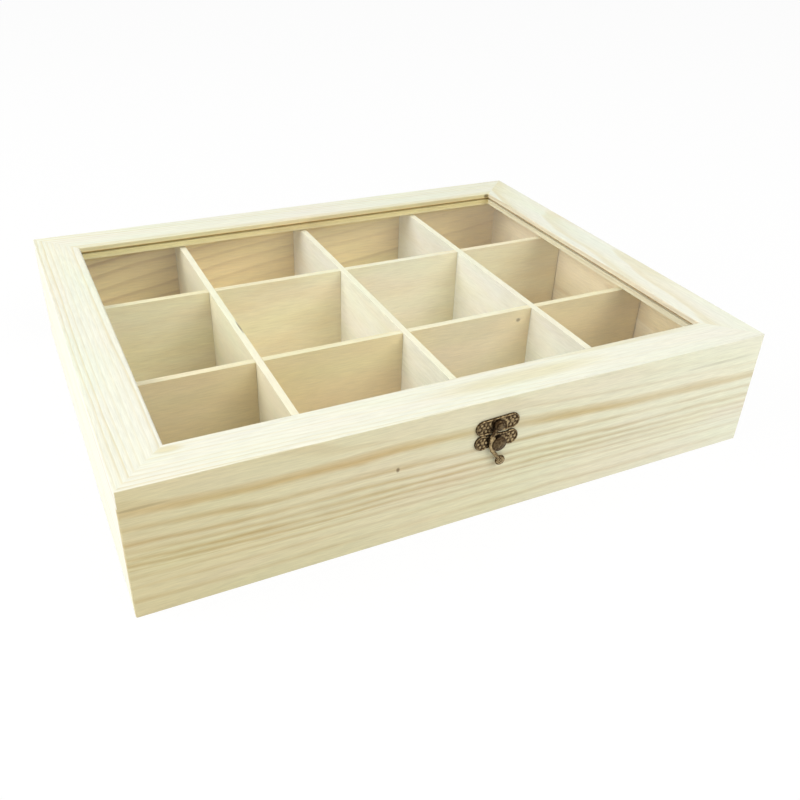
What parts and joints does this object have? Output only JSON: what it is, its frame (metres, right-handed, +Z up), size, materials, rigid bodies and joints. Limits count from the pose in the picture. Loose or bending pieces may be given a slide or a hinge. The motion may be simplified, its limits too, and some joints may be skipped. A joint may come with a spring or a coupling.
{
  "type": "tea bag organizer box",
  "caption": "Unfinished pine tea bag box with a hinged glass lid, a grid of open compartments and a small swing-hook clasp on the front.",
  "frame": {"origin": "middle of the underside of the box, on the surface it stands on", "axes": "+X to the right along the front, +Y from the front to the back, +Z up"},
  "size_m": [0.35, 0.2893, 0.07],
  "materials": {
    "wall_pine": "bare sanded pine with warm growth lines",
    "frame_pine": "bare sanded pine, very pale",
    "divider_ply": "bare thin basswood board",
    "glass": "clear float glass",
    "bronze_dark": "antique bronze patina, stamped",
    "bronze_bright": "antique bronze, rubbed bright on the high spots"
  },
  "bodies": {
    "base": {"front_board": "wall_pine", "back_board": "wall_pine", "left_board": "wall_pine", "right_board": "wall_pine", "bottom_panel": "divider_ply", "row_divider_front": "divider_ply", "row_divider_back": "divider_ply", "column_divider_left": "divider_ply", "column_divider_middle": "divider_ply", "column_divider_right": "divider_ply", "hinge_left_base_leaf": "bronze_dark", "hinge_right_base_leaf": "bronze_dark", "hinge_left_pin": "bronze_bright", "hinge_right_pin": "bronze_bright", "hinge_base_screws": "bronze_bright", "clasp_catch_plate": "bronze_dark", "clasp_catch_stud": "bronze_bright", "clasp_catch_nails": "bronze_bright"},
    "lid": {"lid_rim_front": "wall_pine", "lid_rim_back": "wall_pine", "lid_rim_left": "wall_pine", "lid_rim_right": "wall_pine", "lid_frame_front": "frame_pine", "lid_frame_back": "frame_pine", "lid_frame_left": "frame_pine", "lid_frame_right": "frame_pine", "glass_pane": "glass", "hinge_left_lid_leaf": "bronze_dark", "hinge_right_lid_leaf": "bronze_dark", "hinge_lid_screws": "bronze_bright", "clasp_hook_plate": "bronze_dark", "clasp_rivet": "bronze_bright", "clasp_plate_nails": "bronze_bright"},
    "clasp_hook": {"clasp_hook": "bronze_bright"}
  },
  "joints": [
    {"name": "lid_hinge", "type": "hinge", "parent": "base", "child": "lid", "pos_m": [0, 0.1422, 0.051], "axis": [-1, 0, 0], "range_deg": [0, 105]},
    {"name": "hook_swing", "type": "hinge", "parent": "lid", "child": "clasp_hook", "pos_m": [0.0035, -0.14, 0.0556], "axis": [0, 1, 0], "range_deg": [0, 100]}
  ]
}
